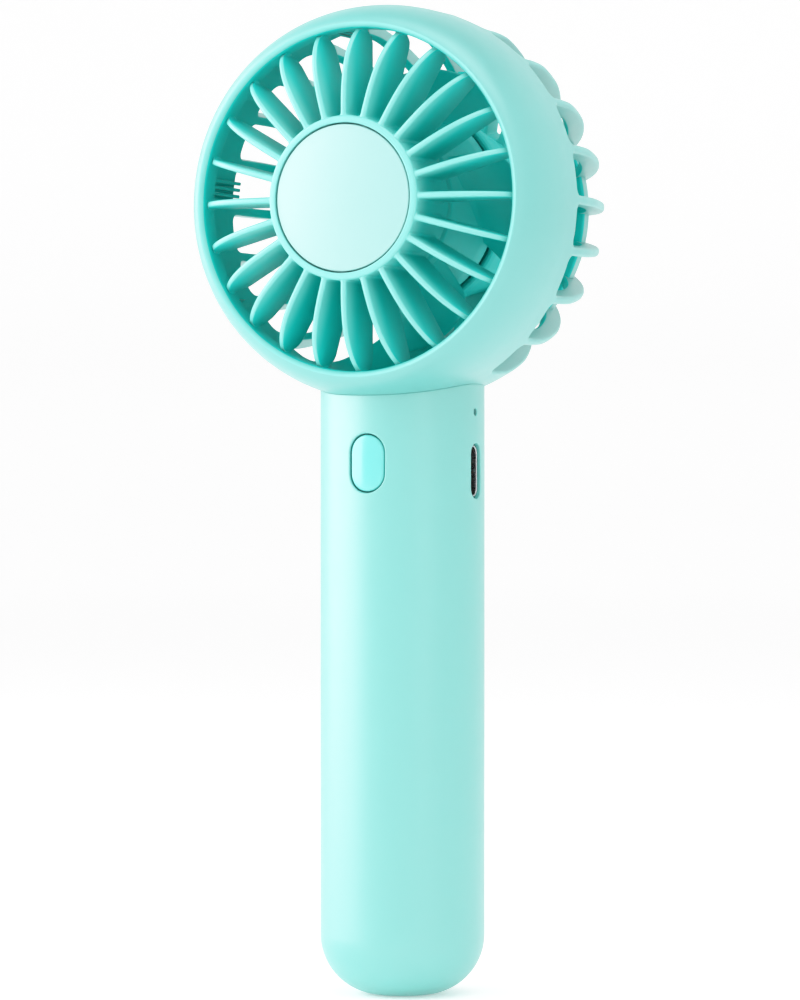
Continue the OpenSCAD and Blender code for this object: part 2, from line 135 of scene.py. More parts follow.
def second(ob, mat, test):
    """Puts mat on the faces for which test(rho, h, outward, forward) is true."""
    me = ob.data
    me.materials.append(mat)
    for p in me.polygons:
        c, nn = p.center / MM, p.normal
        rho = math.hypot(c.x, c.z - ZC)
        if test(rho, -c.y, (nn.x * c.x + nn.z * (c.z - ZC)) / max(rho, 1e-6), -nn.y):
            p.material_index = 1


def spline(pts, n):
    """Catmull-Rom through pts, n steps a span."""
    p = [np.array(q, float) for q in pts]
    out = []
    for i in range(len(p) - 1):
        a, b, c, d = p[max(i - 1, 0)], p[i], p[i + 1], p[min(i + 2, len(p) - 1)]
        for k in range(n):
            t = k / n
            out.append(0.5 * (2 * b + (c - a) * t + (2 * a - 5 * b + 4 * c - d) * t * t
                              + (3 * b - a - 3 * c + d) * t ** 3))
    out.append(p[-1])
    return [tuple(q) for q in out]


def rounded(pts, n=5, closed=True):
    """Rounds a polygon's corners. Each point is (x, y) or (x, y, radius)."""
    out = []
    m = len(pts)
    for i, q in enumerate(pts):
        r = q[2] if len(q) > 2 else 0
        if r <= 0 or (not closed and i in (0, m - 1)):
            out.append((q[0], q[1]))
            continue
        p = np.array(q[:2], float)
        a = np.array(pts[i - 1][:2], float) - p
        b = np.array(pts[(i + 1) % m][:2], float) - p
        la, lb = np.linalg.norm(a), np.linalg.norm(b)
        a, b = a / la, b / lb
        ang = math.acos(max(-1, min(1, float(a @ b))))
        t = min(r / math.tan(ang / 2), la * 0.49, lb * 0.49)
        rr = t * math.tan(ang / 2)
        bis = (a + b) / np.linalg.norm(a + b)
        c = p + bis * rr / math.sin(ang / 2)
        s, e = p + a * t - c, p + b * t - c
        a0, a1 = math.atan2(s[1], s[0]), math.atan2(e[1], e[0])
        d = (a1 - a0 + pi) % (2 * pi) - pi
        for k in range(n + 1):
            x = a0 + d * k / n
            out.append((c[0] + rr * cos(x), c[1] + rr * sin(x)))
    return out


# ---------------------------------------------------------------- materials
def nodes_of(mat):
    mat.use_nodes = True
    nt = mat.node_tree
    nt.nodes.clear()
    out = nt.nodes.new("ShaderNodeOutputMaterial")
    bs = nt.nodes.new("ShaderNodeBsdfPrincipled")
    nt.links.new(bs.outputs["BSDF"], out.inputs["Surface"])
    return nt, bs


def srgb(r, g, b):
    f = lambda c: (c / 12.92 if c <= 0.04045 else ((c + 0.055) / 1.055) ** 2.4)
    return tuple(f(c / 255) for c in (r, g, b))


def painted_shade_mask(nt, by, rng):
    """Mask for painted shade: 1 on the inside faces that look at the fan axis and on the motor boss, 0 outside; with
    by='depth' it rises from one depth to the other along the fan axis.
    """
    N = nt.nodes.new
    L = nt.links.new
    geo = N("ShaderNodeNewGeometry")
    tc = N("ShaderNodeTexCoord")
    if by == "depth":                             # painted shade deepening along the fan axis
        xyz = N("ShaderNodeSeparateXYZ")
        L(tc.outputs["Object"], xyz.inputs["Vector"])
        r = N("ShaderNodeMapRange")
        r.interpolation_type = "SMOOTHSTEP"
        r.inputs["From Min"].default_value = -rng[0] * MM
        r.inputs["From Max"].default_value = -rng[1] * MM
        L(xyz.outputs["Y"], r.inputs["Value"])
        return r.outputs["Result"]
    off = N("ShaderNodeVectorMath")
    off.operation = "SUBTRACT"
    off.inputs[1].default_value = (0, 0, ZC * MM)
    L(tc.outputs["Object"], off.inputs[0])
    flat = N("ShaderNodeVectorMath")
    flat.operation = "MULTIPLY"
    flat.inputs[1].default_value = (1, 0, 1)
    L(off.outputs["Vector"], flat.inputs[0])
    size = N("ShaderNodeVectorMath")
    size.operation = "LENGTH"
    L(flat.outputs["Vector"], size.inputs[0])
    unit = N("ShaderNodeVectorMath")
    unit.operation = "NORMALIZE"
    L(flat.outputs["Vector"], unit.inputs[0])
    dot = N("ShaderNodeVectorMath")
    dot.operation = "DOT_PRODUCT"
    L(geo.outputs["Normal"], dot.inputs[0])
    L(unit.outputs["Vector"], dot.inputs[1])
    r = N("ShaderNodeMapRange")                   # painted shade on faces that look at the axis
    r.interpolation_type = "SMOOTHSTEP"
    r.inputs["From Min"].default_value = -0.1
    r.inputs["From Max"].default_value = -0.5
    L(dot.outputs["Value"], r.inputs["Value"])
    c = N("ShaderNodeMapRange")                   # painted shade on the motor boss
    c.interpolation_type = "SMOOTHSTEP"
    c.inputs["From Min"].default_value = 20.5 * MM
    c.inputs["From Max"].default_value = 18.5 * MM
    L(size.outputs["Value"], c.inputs["Value"])
    mx = N("ShaderNodeMath")
    mx.operation = "MAXIMUM"
    L(r.outputs["Result"], mx.inputs[0])
    L(c.outputs["Result"], mx.inputs[1])
    return mx.outputs["Value"]


def surface(name, rgb, rough=0.4, vary=0.03, rough_vary=0.05, grain=0.012, grain_size=0.35, metal=0.0, sss=0.0,
            coat=0.0, coat_rough=0.12, spec=0.5, ior=1.5, stretch=(1, 1, 1), noise_mm=9.0, bump=0.25, painted_shade=None,
            painted_shade_rough=0.6, painted_shade_by="inside", painted_shade_range=(0.0, 1.0)):
    """A procedural surface: soft colour drift, roughness drift and a moulded or drawn grain, plus an optional painted
    shade colour and roughness on the faces that the shade mask picks.
    """
    mat = bpy.data.materials.new(name)
    nt, bs = nodes_of(mat)
    N = nt.nodes.new
    L = nt.links.new
    co = N("ShaderNodeTexCoord")
    mp = N("ShaderNodeMapping")
    mp.inputs["Scale"].default_value = stretch
    L(co.outputs["Object"], mp.inputs["Vector"])
    big = N("ShaderNodeTexNoise")
    big.inputs["Scale"].default_value = 1000 / noise_mm
    big.inputs["Detail"].default_value = 3
    L(mp.outputs["Vector"], big.inputs["Vector"])
    mix = N("ShaderNodeMix")
    mix.data_type = "RGBA"
    mix.inputs["A"].default_value = tuple(c * (1 - vary) for c in rgb) + (1,)
    mix.inputs["B"].default_value = tuple(min(1, c * (1 + vary)) for c in rgb) + (1,)
    L(big.outputs["Fac"], mix.inputs["Factor"])
    # painted shade: the shade colour is mixed in, and the roughness changed, where the shade mask is 1
    if painted_shade:
        shade_mask = painted_shade_mask(nt, painted_shade_by, painted_shade_range)
        two = N("ShaderNodeMix")
        two.data_type = "RGBA"
        two.inputs["B"].default_value = tuple(painted_shade) + (1,)
        L(mix.outputs["Result"], two.inputs["A"])
        L(shade_mask, two.inputs["Factor"])
        L(two.outputs["Result"], bs.inputs["Base Color"])
    else:
        L(mix.outputs["Result"], bs.inputs["Base Color"])
    rr = N("ShaderNodeMapRange")
    rr.inputs["To Min"].default_value = max(0.02, rough - rough_vary)
    rr.inputs["To Max"].default_value = rough + rough_vary
    mid = N("ShaderNodeTexNoise")
    mid.inputs["Scale"].default_value = 1000 / (noise_mm * 0.22)
    mid.inputs["Detail"].default_value = 4
    L(mp.outputs["Vector"], mid.inputs["Vector"])
    L(mid.outputs["Fac"], rr.inputs["Value"])
    if painted_shade:
        rm = N("ShaderNodeMix")
        rm.inputs["B"].default_value = painted_shade_rough
        L(rr.outputs["Result"], rm.inputs["A"])
        L(shade_mask, rm.inputs["Factor"])
        L(rm.outputs["Result"], bs.inputs["Roughness"])
    else:
        L(rr.outputs["Result"], bs.inputs["Roughness"])
    fine = N("ShaderNodeTexNoise")
    fine.inputs["Scale"].default_value = 1000 / grain_size
    fine.inputs["Detail"].default_value = 2
    L(mp.outputs["Vector"], fine.inputs["Vector"])
    bp = N("ShaderNodeBump")
    bp.inputs["Strength"].default_value = bump
    bp.inputs["Distance"].default_value = grain * MM
    L(fine.outputs["Fac"], bp.inputs["Height"])
    L(bp.outputs["Normal"], bs.inputs["Normal"])
    bs.inputs["Metallic"].default_value = metal
    bs.inputs["Specular IOR Level"].default_value = spec
    bs.inputs["IOR"].default_value = ior
    if sss:
        bs.inputs["Subsurface Weight"].default_value = sss
        bs.inputs["Subsurface Radius"].default_value = (0.5, 1.0, 0.95)
        bs.inputs["Subsurface Scale"].default_value = 0.0012
    if coat:
        bs.inputs["Coat Weight"].default_value = coat
        bs.inputs["Coat Roughness"].default_value = coat_rough
    return mat


MINT = (0.07, 0.425, 0.385)
# painted shade colour: the saturated teal of the shaded inside of the head, the boss and the vanes' sides
SHADE_TEAL = (0.005, 0.54, 0.50)
M_BODY = surface("body_plastic", MINT, rough=0.42, vary=0.015, spec=1.0, ior=1.7, coat=0.4, coat_rough=0.4)
# painted shade: the head's faces that look at the axis and the motor boss turn to the shade teal
M_HEAD = surface("head_plastic", (0.105, 0.42, 0.39), rough=0.43, vary=0.015, spec=0.75, ior=1.58, coat=0.3, coat_rough=0.4,
                 painted_shade=SHADE_TEAL, painted_shade_rough=0.75)
# painted shade: a darker, saturated teal copy of the head plastic for the head's shaded inside faces
M_INSIDE_SHADE = surface("inside_painted_shade", SHADE_TEAL, rough=0.6, vary=0.02, spec=0.25, ior=1.45)
M_GRILLE = surface("grille_plastic", (0.13, 0.53, 0.49), rough=0.42, vary=0.015, spec=0.9, coat=0.3, coat_rough=0.35)
# painted shade: a shaded copy of the grille plastic for the vanes' sides, turning to shade teal deeper along the axis
M_VANE_SIDE_SHADE = surface("vane_side_painted_shade", (0.13, 0.56, 0.52), rough=0.5, vary=0.015, spec=0.3, ior=1.45,
                 painted_shade=SHADE_TEAL, painted_shade_rough=0.6, painted_shade_by="depth", painted_shade_range=(22.9, 18.2))
M_CAP = surface("cap_plastic", (0.22, 0.50, 0.475), rough=0.38, vary=0.012, spec=1.0, ior=1.6, coat=0.4, coat_rough=0.35)
M_FAN = surface("fan_plastic", (0.006, 0.58, 0.54), rough=0.42, vary=0.02, spec=0.35, ior=1.45)
M_BUTTON = surface("button_plastic", (0.10, 0.56, 0.53), rough=0.2, vary=0.015, grain=0.004, spec=0.8, coat=0.5)
M_LENS = surface("lens_plastic", (0.004, 0.13, 0.115), rough=0.3, vary=0.06, grain=0.003, spec=0.25)
M_STEEL = surface("steel", (0.56, 0.57, 0.58), rough=0.3, vary=0.05, rough_vary=0.08, metal=1,
                  grain=0.006, grain_size=0.15, stretch=(1, 0.12, 1))
M_PORT = surface("nickel", (0.50, 0.51, 0.52), rough=0.28, vary=0.05, rough_vary=0.07, metal=1,
                 grain=0.004, grain_size=0.12, noise_mm=3)
M_GOLD = surface("contact_gold", (0.75, 0.55, 0.25), rough=0.3, vary=0.04, metal=1, noise_mm=2)
M_BLACK = surface("black_plastic", (0.02, 0.02, 0.022), rough=0.45, vary=0.1)
M_FERRITE = surface("ferrite", (0.03, 0.03, 0.033), rough=0.6, vary=0.15, grain=0.03)
M_ALLOY = surface("alloy", (0.62, 0.63, 0.64), rough=0.42, vary=0.05, metal=1, grain=0.02)
M_LAMIN = surface("laminations", (0.14, 0.15, 0.16), rough=0.45, vary=0.1, metal=0.8,
                  stretch=(0.1, 4, 0.1), grain=0.03, grain_size=0.5)
M_COPPER = surface("copper_wire", (0.72, 0.30, 0.12), rough=0.32, vary=0.12, metal=1,
                   stretch=(0.2, 3, 0.2), grain=0.05, grain_size=0.4)
M_BOARD = surface("board_green", (0.01, 0.12, 0.05), rough=0.35, vary=0.12, coat=0.3, noise_mm=3)
M_WHITE = surface("natural_plastic", (0.80, 0.81, 0.80), rough=0.5, vary=0.03)
M_CELL = surface("cell_sleeve", (0.04, 0.20, 0.42), rough=0.3, vary=0.06, coat=0.3, noise_mm=20)
M_PAPER = surface("barley_paper", (0.80, 0.75, 0.60), rough=0.8, vary=0.08, grain=0.04)
M_RED = surface("wire_red", (0.55, 0.015, 0.01), rough=0.45, vary=0.06)
M_DARK = surface("wire_black", (0.012, 0.012, 0.012), rough=0.45, vary=0.1)
M_FOAM = surface("foam", (0.07, 0.07, 0.075), rough=0.9, vary=0.2, grain=0.12, grain_size=0.5)

# ------------------------------------------------------- head: matched edges
# (outer radius, outer h, inner radius, inner h) from the duct wall back to the boss
EDGE = [(34.0, 6.0, 31.0, 8.0), (34.0, 4.0, 31.0, 6.0), (34.0, 2.0, 31.0, 4.0),
        (34.0, -1.5, 31.0, 0.4), (33.65, -6, 31.0, -3.4), (32.9, -9.6, 30.6, -7.0),
        (32.0, -12.9, 29.7, -10.1), (31.0, -16.1, 28.5, -13.3), (29.6, -19.4, 27.0, -16.4),
        (27.9, -22.5, 25.2, -19.2), (26.1, -24.8, 23.7, -20.9), (24.0, -26.5, 21.7, -22.3),
        (20.4, -28.1, 18.7, -23.6), (17.0, -28.95, 15.9, -24.25), (14.6, -29.4, 13.9, -24.6)]
_e = np.array(spline(EDGE, 24))
_e[:, 0] = np.minimum(_e[:, 0] * HEAD_R / 34.0, HEAD_R)
_s = np.concatenate([[0], np.cumsum(np.hypot(np.diff(_e[:, 0]), np.diff(_e[:, 1])))])
S_END = float(_s[-1])


def edge_at(s, w):
    """Radius and h at length s along the outer edge, w from outside (0) to inside (1)."""
    q = [float(np.interp(s, _s, _e[:, k])) for k in range(4)]
    return q[0] * (1 - w) + q[2] * w, q[1] * (1 - w) + q[3] * w


def s_at_rho(r):
    i = int(np.argmax(_e[:, 0] <= r))
    return float(_s[i])


FIN_HALF = 0.78
S_U = 4.0                         # where each rear slot starts
S_B = s_at_rho(15.6)              # where it ends, by the boss
CORNER, CORNER_B = 1.5, 0.45
Q_C = lambda s: edge_at(s, 0)[0] * sin(HALF)


def slot_edge():
    """Boundary of half a slot as (q, s, nq, ns): q from the fin's middle plane, n pointing into the plastic."""
    pts = []
    q1 = FIN_HALF + CORNER
    for k in range(4):
        t = k / 4
        pts.append((Q_C(S_U) * (1 - t) + q1 * t, S_U, 0, -1))
    for k in range(8):
        a = pi / 2 * k / 8
        pts.append((q1 - CORNER * sin(a), S_U + CORNER - CORNER * cos(a), -sin(a), -cos(a)))
    n = 34
    s0, s1 = S_U + CORNER, S_B - CORNER_B
    for k in range(n):
        pts.append((FIN_HALF, s0 + (s1 - s0) * k / n, -1, 0))
    for k in range(4):
        a = pi / 2 * k / 4
        pts.append((FIN_HALF + CORNER_B * (1 - cos(a)), s1 + CORNER_B * sin(a), -cos(a), sin(a)))
    q2 = FIN_HALF + CORNER_B
    for k in range(7):
        t = k / 6
        pts.append((q2 * (1 - t) + Q_C(S_B) * t, S_B, 0, 1))
    return pts


B_EDGE = slot_edge()
NB = len(B_EDGE)
N_FRONT = 8                       # steps of the half sector's front line
N_REAR = 8
i1, i2 = N_FRONT, NB - 1 - N_REAR


def border():
    """Outer limit of the half sector, point for point with the slot's edge, as (angle fraction, s)."""
    out = []
    for k in range(NB):
        if k <= i1:
            out.append((1 - k / N_FRONT, 0.0))
        elif k >= i2:
            out.append(((k - i2) / N_REAR, S_END))
        else:
            a, b = B_EDGE[i1][1], B_EDGE[i2][1]
            out.append((0.0, (B_EDGE[k][1] - a) / (b - a) * S_END if k < i1 + 5 or k > i2 - 4
                        else B_EDGE[k][1]))
    # keep s rising along the fin
    s = [o[1] for o in out]
    lo_k, hi_k = i1 + 5, i2 - 4
    for k in range(i1, lo_k):
        s[k] = s[lo_k] * (k - i1) / (lo_k - i1)
    for k in range(hi_k + 1, i2 + 1):
        s[k] = s[hi_k] + (S_END - s[hi_k]) * (k - hi_k) / (i2 - hi_k)
    return [(o[0], x) for o, x in zip(out, s)]


E_EDGE = border()


def angle_of(q, s, w):
    """Angle from the fin's plane of a point q mm off it: parallel sides on the fin, radial at the slot's middle."""
    ro, ri = edge_at(s, 0)[0], edge_at(s, w)[0]
    a_out = math.asin(max(0, min(1, q / ro)))
    a_par = math.asin(max(0, min(1, q / ri)))
    f_fin = math.asin(FIN_HALF / ro) / HALF
    f = (a_out / HALF - f_fin) / (1 - f_fin)
    f = max(0.0, min(1.0, f))
    g = f * f * (3 - 2 * f)
    return a_par * (1 - g) + a_out * g


def half_sector(side, phi0):
    """Rings from the outer border, over the rounded slot edge, through the wall, to the inner border."""
    rows = []
    r_out, r_in = 0.62, 0.5
    steps = []
    for k in range(3):
        steps.append(("flat", k / 3, 0.0, r_out))
    for k in range(6):
        steps.append(("arc", k / 5, 0.0, r_out))
    for k in range(1, 4):
        steps.append(("wall", k / 4, 0.0, 0))
    for k in range(6):
        steps.append(("arcin", k / 5, 1.0, r_in))
    for k in range(2, -1, -1):
        steps.append(("flatin", k / 3, 1.0, r_in))
    for kind, t, w0, r in steps:
        row = []
        for k in range(NB):
            q, s, nq, ns = B_EDGE[k]
            ef, es = E_EDGE[k]
            depth = max(1.0, math.dist(edge_at(s, 0), edge_at(s, 1)))
            if kind in ("flat", "flatin"):
                bq, bs_ = q + nq * r, s + ns * r
                # as an angle fraction, so that both ends meet their borders exactly
                w = 0.0 if kind == "flat" else 1.0
                ab = angle_of(max(0, bq), bs_, w) / HALF
                f = ef * (1 - t) + ab * t
                ss = es * (1 - t) + bs_ * t
                rho, h = edge_at(ss, w)
                ang = f * HALF
            else:
                if kind == "arc":
                    a = pi / 2 * t
                    off, w = r * (1 - sin(a)), r * (1 - cos(a)) / depth
                elif kind == "wall":
                    off = 0.0
                    w = r_out / depth + (1 - (r_out + r_in) / depth) * t
                else:
                    a = pi / 2 * (1 - t)
                    off, w = r * (1 - sin(a)), 1 - r * (1 - cos(a)) / depth
                bq, bs_ = q + nq * off, s + ns * off
                ang = angle_of(max(0, bq), bs_, w)
                if k in (0, NB - 1):
                    ang = HALF
                rho, h = edge_at(bs_, w)
            row.append(hd(rho, phi0 + side * ang, h))
        rows.append(row)
    return rows


def head_shell():
    m = Mesh()
    closed_from, closed_to = -120.0, -60.0
    fins = [i * 360 / NV for i in range(NV)]
    for a in fins:
        b = a if a <= 180 else a - 360
        for side in (1, -1):
            if closed_from < b < closed_to or (b == closed_from and side > 0) or (b == closed_to and side < 0):
                # plain skin over the neck
                for w in (0.0, 1.0):
                    rows = []
                    for k in range(i1, i2 + 1):
                        s = E_EDGE[k][1]
                        rho, h = edge_at(s, w)
                        rows.append([hd(rho, math.radians(a) + side * HALF * j / N_FRONT, h)
                                     for j in range(N_FRONT + 1)])
                    m.grid(rows)
                continue
            m.grid(half_sector(side, math.radians(a)))
    n = NV * 2 * N_FRONT
    # drum from the fin zone forward to the crest of the rim, then back inside
    k = HEAD_R / 34.0
    front = [((29.5 + 4.5 * cos(math.radians(x))) * k, 6 + 12.9 * sin(math.radians(x)))
             for x in np.linspace(0, 82.5, 30)]
    inner = rounded([front[-1], (30.0, 18.80), (30.0, 13.5, 0.1), (31.0, 13.2, 0.3), (31.0, 8.0)],
                    n=4, closed=False)
    m.lathe(front + inner[1:], n, closed=False)
    # motor boss
    boss = rounded([(14.6 * k, -29.4), (12.75, -29.62, 0.35), (12.2, -29.2, 0.2), (12.2, -26.5, 1.0), (12.9, -24),
                    (13.7, -19, 2.0), (14.8, -13.5, 2.0), (15.3, -10.45, 0.4), (3.0, -10.4, 0.15), (3.0, -8.0, 0.15),
                    (16.4, -8.0, 0.5), (16.4, -4.2, 0.4), (17.1, -2.7, 0.12), (17.6, -2.7, 0.15), (CUP_R, -3.1, 0.15), (CUP_R, -4.6, 2.0),
                    (CUP_R - 0.75, -8.8, 3.0), (CUP_R - 1.6, -13.5, 4.0), (CUP_R - 2.7, -19, 4.0),
                    (CUP_R - 3.5, -24.5, 0.1), (13.9, -24.6)], n=6, closed=False)
    m.lathe(boss, n, closed=False)
    # hoop that ties the fins
    m.lathe(rounded([(23.55, -20.8, 0.5), (25.2, -20.8, 0.5), (25.2, -23.3, 0.5), (23.55, -23.3, 0.5)], n=5), 240)
    # locating ribs on the duct wall
    for g in range(5):
        for k2 in range(4):
            phi = math.radians(174.5 - 72 * g + (k2 - 1.5) * 2.1)
            sec = rounded([(-0.3, 30.25, 0.14), (0.3, 30.25, 0.14), (0.3, 31.3), (-0.3, 31.3)], n=3)
            rows = []
            for h, sh in ((12.9, 0.4), (12.8, 0.9), (12.6, 1), (3.5, 1), (3.3, 0.9), (3.2, 0.4)):
                row = []
                for x, r in sec:
                    x2, r2 = x * sh, 31.3 - (31.3 - r) * (0.9 + 0.1 * sh)
                    row.append((r2 * cos(phi) - x2 * sin(phi), -h, ZC + r2 * sin(phi) + x2 * cos(phi)))
                rows.append(row)
            m.grid(rows, wrap_u=True)
            m.add(rows[0], [tuple(range(len(sec)))])
            m.add(rows[-1], [tuple(range(len(sec)))])
    # wire duct up the back of the neck
    sec = rounded([(-3.4, 8.4, 0.6), (3.4, 8.4, 0.6), (3.4, 14.0, 0.3), (-3.4, 14.0, 0.3)], n=4)
    rows = [[(x, y, z) for x, y in sec] for z in np.linspace(ZC - 31.6, ZC - 13.2, 8)]
    m.grid(rows, wrap_u=True)
    m.add(rows[0], [tuple(range(len(sec)))])
    m.add(rows[-1], [tuple(range(len(sec)))])
    # spigot inside the handle's top
    lo_, hi_ = mm("head_shell")
    zb = lo_[2]
    for y0 in (-90, 90):
        rows = []
        for j in range(33):
            th = math.radians(y0 - 62 + 124 * j / 32)
            z1 = ZC - math.sqrt(max(0, 32.2 ** 2 - (12.2 * cos(th)) ** 2))
            rows.append([(r * cos(th), r * sin(th), z) for r, z in
                         ((10.85, zb), (12.25, zb), (12.25, z1), (10.85, z1))])
        m.grid(rows, wrap_u=True)
        m.add(rows[0], [(0, 1, 2, 3)])
        m.add(rows[-1], [(0, 1, 2, 3)])
    ob = m.build("head_shell_moulding", M_HEAD, "housing", ["head_shell"])
    # painted shade: the inward faces, the boss and the forward faces seen through the slots take the shaded inside
    # material
    second(ob, M_INSIDE_SHADE, lambda rho, h, out, fwd: (out < -0.3 and h > -28) or (rho < 19 and -24 < h < 2)
           or (fwd > 0.25 and -24 < h < 1.6))
    return ob


head_shell()


# ------------------------------------------------------------ front grille
VANE = spline([(13.3, 23.1), (17, 23.1), (20.5, 22.75), (23.5, 21.9), (26, 20.5), (28, 18.7), (29.5, 16.4)], 5)


def stadium(h0, h1, half, n=7):
    """Closed section of a vane: rounded front at h1 and back at h0, as (lateral, h)."""
    pts = []
    r = min(half, (h1 - h0) * 0.49)
    for k in range(n):
        a = pi * k / (n - 1)
        pts.append((half * cos(a), h1 - r + r * sin(a)))
    for k in range(1, 4):
        pts.append((-half, h1 - r + (h0 + r - h1 + r) * k / 4))
    for k in range(n):
        a = pi + pi * k / (n - 1)
        pts.append((half * cos(a), h0 + r + r * sin(a)))
    for k in range(1, 4):
        pts.append((half, h0 + r + (h1 - r - h0 - r) * k / 4))
    return pts


def grille():
    m = Mesh()
    prof = [(30.0, 14.6), (30.0, 18.80)]
    for x in np.linspace(94, 180, 14):
        a = math.radians(x)
        prof.append((30.0 + 0.95 * cos(a), 17.85 + 0.95 * sin(a)))
    prof += [(29.05, 14.75), (29.12, 14.58), (29.3, 14.5), (29.85, 14.5)]
    m.lathe(prof, 288)
    vp = np.array(VANE)
    rs = np.concatenate([[13.4, 13.75, 13.9, 14.05, 14.25, 14.55], np.linspace(15.2, 27.8, 16), [28.3, 28.6, 28.85, 29.05, 29.3]])
    for i in range(NV):
        phi = math.radians(i * 360 / NV)
        rows = []
        for r in rs:
            h1 = float(np.interp(r, vp[:, 0], vp[:, 1]))
            h0 = 12.2 + (0 if r < 27 else 2.4 * ((r - 27) / 2.05) ** 2 if r < 29.05 else 2.4)
            half = 0.56 - 0.10 * (r - 13.4) / 16
            f = max(0.0, 0.45 - (r - 13.9)) if r > 13.9 else 0.45
            g = max(0.0, 0.45 - (29.05 - r)) if r < 29.05 else 0.45
            half += 0.45 - math.sqrt(max(0, 0.45 ** 2 - f * f)) if f > 0 else 0
            half += 0.45 - math.sqrt(max(0, 0.45 ** 2 - g * g)) if g > 0 else 0
            rows.append([(r * cos(phi) - x * sin(phi), -h, ZC + r * sin(phi) + x * cos(phi))
                         for x, h in stadium(h0, h1, half)])
        m.grid(rows, wrap_u=True)
        n = len(rows[0])
        m.add(rows[0], [tuple(range(n))])
        m.add(rows[-1], [tuple(range(n))])
    # hub cup with a rounded rim round the cap
    m.lathe(rounded([(0.0, 20.2), (12.5, 20.2, 0.3), (12.5, 10.6, 0.3), (HUB_R, 10.6, 0.3), (HUB_R, 23.35, 0.5),
                     (12.66, 23.42, 0.18), (12.64, 21.4, 0.1), (0.0, 21.4)], n=6, closed=False), 192, closed=False)
    # hooks behind the rim
    for a in (66.5, 138.5, 210.5, 282.5, 354.5):
        phi = math.radians(a)
        sec = rounded([(29.1, 12.1, 0.15), (30.7, 12.1, 0.2), (30.7, 13.0, 0.1), (29.95, 13.2, 0.1), (29.95, 15.0), (29.1, 15.0)], n=3)
        rows = [[(r * cos(phi) - x * sin(phi), -h, ZC + r * sin(phi) + x * cos(phi)) for r, h in sec]
                for x in np.linspace(-1.6, 1.6, 5)]
        m.grid(rows, wrap_u=True)
        m.add(rows[0], [tuple(range(len(sec)))])
        m.add(rows[-1], [tuple(range(len(sec)))])
    ob = m.build("front_grille_moulding", M_GRILLE, "housing", ["front_grille"])
    # painted shade: the vanes' sides, the ring's inner face and the hub cup's side take the shaded vane material; the
    # front faces keep the grille plastic
    second(ob, M_VANE_SIDE_SHADE, lambda rho, h, out, fwd: (13.85 < rho < 29.0 and fwd < 0.45) or (rho >= 29.0 and out < -0.85)
           or (rho < 14.6 and h < 12))

    c = Mesh()
    dome = [(12.4 - 0.32, 23.21)]
    for k in range(1, 25):
        r = (12.4 - 0.32) * (1 - k / 24)
        dome.append((max(r, 0.0), 23.2 + 0.75 * (1 - (r / 12.08) ** 2)))
    edge = rounded([(0.0, 21.5), (12.4, 21.5, 0.1), (12.4, 23.18, 0.34), (12.0, 23.23)], n=6, closed=False)
    c.lathe(edge[:-1] + dome, 192, closed=False)
    c.build("hub_cap_dome", M_CAP, "housing", ["hub_cap"])

    b = Mesh()
    b.lathe(rounded([(0.0, -27.6), (12.1, -27.6, 0.1), (12.1, -28.9, 0.5), (7.0, -29.6, 2.0), (0.0, -29.68)], n=6, closed=False),
            160, closed=False)
    b.build("rear_cap_moulding", M_BODY, "housing", ["rear_cap"])


grille()


# ---------------------------------------------------------------- impeller
BLADES, TIP = 5, 25.2
FLARE = CUP_R - 0.4 - HUB_R


def blade_pt(s, u, side):
    """s from root to tip, u from the rear edge to the front edge."""
    root = HUB_R - 0.75 + 0.95 * FLARE * (1 - u)
    r = root + s * (TIP - 2.2 * u * u - root)
    um = 0.5 + (u - 0.5) * (1 if s < 0.75 else math.sqrt(1 - 0.5 * ((s - 0.75) / 0.25) ** 2))
    a = -23 - 10 * s + (56 - 3 * s) * um
    h0, h1 = 0.1 - 2.6 * s ** 1.4, 8.7 - 6.5 * s
    h = h0 + (h1 - h0) * um + 0.8 * sin(pi * um)
    th = (1.5 - 0.6 * s) * (1 + 0.8 * max(0, 1 - s / 0.16) ** 2)
    t = side * th / 2 * (4 * u * (1 - u)) ** 0.45
    return r, math.radians(a - t * 40 / r), h + t * 0.7


